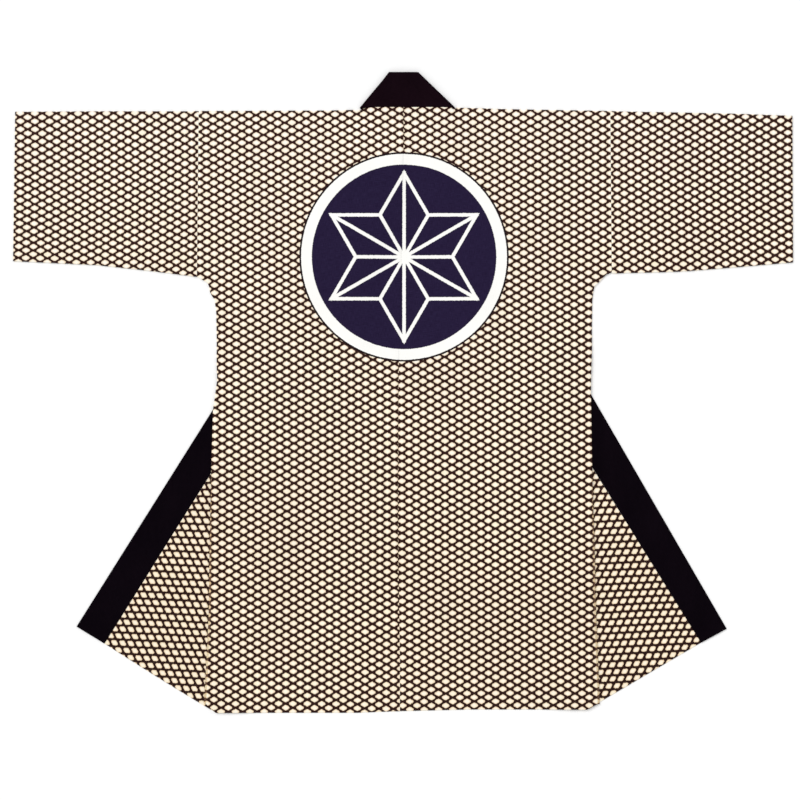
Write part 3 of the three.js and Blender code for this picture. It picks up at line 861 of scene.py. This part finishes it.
def printed_cotton(name, creams, darks, half_lines, with_design):
    """creams and darks are a colour at the shoulder and one at the hem, half_lines half the
    width of a line there, as a share of a diamond. The change of tone from shoulder to hem is
    painted light fall-off."""
    material, add, shader = new_material(name, roughness=0.92, specular=0.05, sheen=0.02)
    uv = add("UVMap", uv_map="print")
    place = add("TexCoord", out="Object")
    parts = add("SeparateXYZ", {0: place}).node.outputs
    across = add("Math ABSOLUTE", {0: parts[0]})
    weight = add("MapRange", {0: across, 1: BODY_SIDE[0], 2: BODY_SIDE[1], 3: BODY_HEMWARD, 4: 1.0})
    # painted light fall-off: a share from shoulder to hem that dims and warms the tones and broadens the
    # lines
    hemward = add("MapRange", {0: parts[1], 1: HEMWARD_TOP, 2: HEMWARD_FOOT})
    hemward = add("Math MULTIPLY", {0: hemward, 1: weight})
    half_line = add("MapRange", {0: hemward, 3: half_lines[0], 4: half_lines[1]})
    # broader lines to the right: partly print, partly painted dimmer light
    heavier_and_dimmer = add("MapRange", {0: parts[0], 1: HEAVIER_AT[0], 2: HEAVIER_AT[1], 4: RIGHT_HEAVIER_AND_DIMMER})
    half_line = add("Math ADD", {0: half_line, 1: heavier_and_dimmer})
    dye, bleed = lattice_dye(add, uv, half_line)
    relief, slub = yarn_relief(add, uv)
    tones = []
    for pair in (creams, darks):
        ends = {0: hemward, 6: linear(pair[0]), 7: linear(pair[1])}
        tones.append(add("Mix", ends, **COLOUR))
    patchy = add("TexNoise", {"Vector": place, "Scale": 9.0, "Detail": 3.0})
    warm = add("Math MULTIPLY", {0: bleed, 1: BLEED_SHARE})
    cream = add("Mix", {0: warm, 6: tones[0], 7: linear(BLEED_TINT)}, **COLOUR)
    mottle = add("TexNoise", {"Vector": uv, "Scale": 55.0, "Detail": 2.0})
    mottle = add("MapRange", {0: mottle, 1: 0.45, 2: 0.75, 4: MOTTLE_SHARE})
    cream = add("Mix", {0: mottle, 6: cream, 7: linear(MOTTLE_TINT)}, **COLOUR)
    worn = add("MapRange", {0: slub, 1: 0.9, 2: 1.25, 4: WORN_SHARE})
    dark = add("Mix", {0: worn, 6: tones[1], 7: linear(WORN_TINT)}, **COLOUR)
    colour = add("Mix", {0: dye, 6: cream, 7: dark}, **COLOUR)
    if with_design:
        design = add("UVMap", uv_map="design")
        fray = add("TexNoise", {"Vector": design, "Scale": 600.0, "Detail": 1.0}, out="Color")
        fray = add("VectorMath SUBTRACT", {0: fray, 1: MIDDLE})
        design = add("VectorMath MULTIPLY_ADD", {0: fray, 1: DESIGN_FRAY, 2: design})
        inside, white, navy, star = roundel(add, design)
        thread = add("MapRange", {0: slub, 1: 0.75, 2: 1.3})
        blues = {0: thread, 6: linear(DESIGN_BLUES[0]), 7: linear(DESIGN_BLUES[1])}
        blue = add("Mix", blues, **COLOUR)
        field = add("Mix", {0: star, 6: blue, 7: linear(DESIGN_WHITE)}, **COLOUR)
        for mask, tint in ((inside, linear(DESIGN_RIM)), (white, linear(DESIGN_WHITE)), (navy, field)):
            colour = add("Mix", {0: mask, 6: colour, 7: tint}, **COLOUR)
    shade = add("Math ADD", {0: slub, 1: patchy})
    shade = add("MapRange", {0: shade, 1: 1.0, 2: 2.0, 3: SHADES[0], 4: SHADES[1]})
    colour = add("VectorMath MULTIPLY", {0: colour, 1: shade})
    bump = add("Bump", {"Strength": 0.25, "Distance": RELIEF_HIGH, "Height": relief})
    fill(shader, {"Base Color": colour, "Normal": bump})
    print(name, "has", len(material.node_tree.nodes), "nodes")
    return material


cotton = printed_cotton(
    "lattice_cotton", ("#FDFBF2", "#FCF2DC"), ("#2B110F", "#240C0A"), (0.127, 0.1445), with_design=True)
# the wrong side: lines paler where the dye soaked through, and a darker tan cream that is painted contact
# shadow along the side seam's roll
wrong_side_and_shade = printed_cotton(
    "lattice_cotton_wrong_side", ("#DCCFB4", "#D5C4A0"), ("#5E463A", "#5A4034"), (0.130, 0.148),
    with_design=False)

# %% [markdown]
# The collar is a closer, heavier cotton, dyed a full black that leans to purple, and is a
# little paler round the neck. It is quite matt.

# %% Black cotton
NECK_FROM, NECK_FULL = 0.30, 0.45  # the frame's y between which the neck's tones come in
BLACK_DEEP, BLACK_PALE = ("#060307", "#0E050A"), ("#100910", "#1A0C14")  # each: fronts, neck


def black_cotton():
    """Two blacks mixed by slubs and slow noise, each of them paler by the neck."""
    material, add, shader = new_material("black_cotton", roughness=0.9, specular=0.015, sheen=0.0)
    uv = add("UVMap", uv_map="print")
    relief, slub = yarn_relief(add, uv)
    fade = add("TexNoise", {"Vector": uv, "Scale": 11.0, "Detail": 3.0})
    share = add("Math ADD", {0: slub, 1: fade})
    share = add("MapRange", {0: share, 1: 1.1, 2: 2.0})
    place = add("TexCoord", out="Object")
    parts = add("SeparateXYZ", {0: place}).node.outputs
    by_neck = add("MapRange", {0: parts[1], 1: NECK_FROM, 2: NECK_FULL})
    tones = []
    for front, neck in (BLACK_DEEP, BLACK_PALE):
        ends = {0: by_neck, 6: linear(front), 7: linear(neck)}
        tones.append(add("Mix", ends, **COLOUR))
    colour = add("Mix", {0: share, 6: tones[0], 7: tones[1]}, **COLOUR)
    bump = add("Bump", {"Strength": 0.3, "Distance": RELIEF_HIGH, "Height": relief})
    fill(shader, {"Base Color": colour, "Normal": bump})
    return material


black = black_cotton()
cloths = list(bodies.values()) + list(sleeves.values())
for piece in cloths:
    piece.data.materials.append(cotton)
    piece.data.materials.append(wrong_side_and_shade)
for _ in range(2):
    collar.data.materials.append(black)

# %% [markdown]
# Each piece of cloth takes the place of its solid, and all of them move with the one root,
# because a garment that lies flat has no moving parts.

# %% Riding
for side in HALVES:
    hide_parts("body_" + side)
    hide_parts("sleeve_" + side)
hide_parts("collar")
for piece in cloths + [collar]:
    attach(piece, "root")
print("slots:", [material.name for material in (cotton, black)])

# %% [markdown]
# The cut of each piece is printed as flat cloth: a body half is one length from hem to hem, a
# sleeve is taken all round, and the collar is the finished band, folded double and sewn. The
# areas are measured on the middle surfaces, because the fronts and hems aren't cut square.


def middle_area(piece):
    """Square metres of the piece's middle surface, as the sum of its faces."""
    areas = np.zeros(len(piece.data.polygons))
    piece.data.polygons.foreach_get("area", areas)
    return float(areas.sum())


for side in HALVES:
    body_area, sleeve_area = (round(middle_area(kind[side]), 3) for kind in (bodies, sleeves))
    print("cut areas:", side, body_area, sleeve_area)
band_wide = BAND_WIDE * MM
band_length = round(middle_area(collar) / band_wide, 2)
print("collar length:", band_length)

# %% [markdown]
# A garment is photographed from straight above on white paper, under a wide soft light that
# leaves almost no shadow. The lens is long, so that the edges of the cloth aren't seen sideways.

# %% Floor, light and camera
FLOOR_COLOUR = "#FCFCFC"
SKY_STRENGTH, SOFTBOX_STRENGTH = 0.78, 1.25
SOFTBOX_SPREAD, SOFTBOX_TURN = 35, (-28, -34, 0)  # degrees
LENS, FILM = 85, 36  # mm
CAMERA_AT = (-0.005, -0.0124, 3.117)

floor_mesh = bpy.data.meshes.new("floor")
floor_mesh.from_pydata([(-6, -6, 0), (6, -6, 0), (6, 6, 0), (-6, 6, 0)], [], [(0, 1, 2, 3)])
floor = bpy.data.objects.new("floor", floor_mesh)
bpy.context.scene.collection.objects.link(floor)
paper, _, paper_shader = new_material("pale_floor", roughness=0.95, specular=0.1, sheen=0.0)
fill(paper_shader, {"Base Color": linear(FLOOR_COLOUR)})
floor.data.materials.append(paper)

world = bpy.data.worlds.new("studio")
bpy.context.scene.world = world
world.use_nodes = True
fill(world.node_tree.nodes["Background"], {"Color": (1, 1, 1, 1), "Strength": SKY_STRENGTH})

softbox = bpy.data.lights.new("softbox", "SUN")
softbox.energy = SOFTBOX_STRENGTH
softbox.angle = math.radians(SOFTBOX_SPREAD)
softbox_at = bpy.data.objects.new("softbox", softbox)
softbox_at.rotation_euler = [math.radians(turn) for turn in SOFTBOX_TURN]
bpy.context.scene.collection.objects.link(softbox_at)

camera_data = bpy.data.cameras.new("camera")
camera_data.lens = LENS
camera_data.sensor_width = FILM
camera = bpy.data.objects.new("camera", camera_data)
camera.location = CAMERA_AT
bpy.context.scene.collection.objects.link(camera)
bpy.context.scene.camera = camera
bpy.context.scene.view_settings.view_transform = "Standard"
print("camera height:", CAMERA_AT[2], "m")
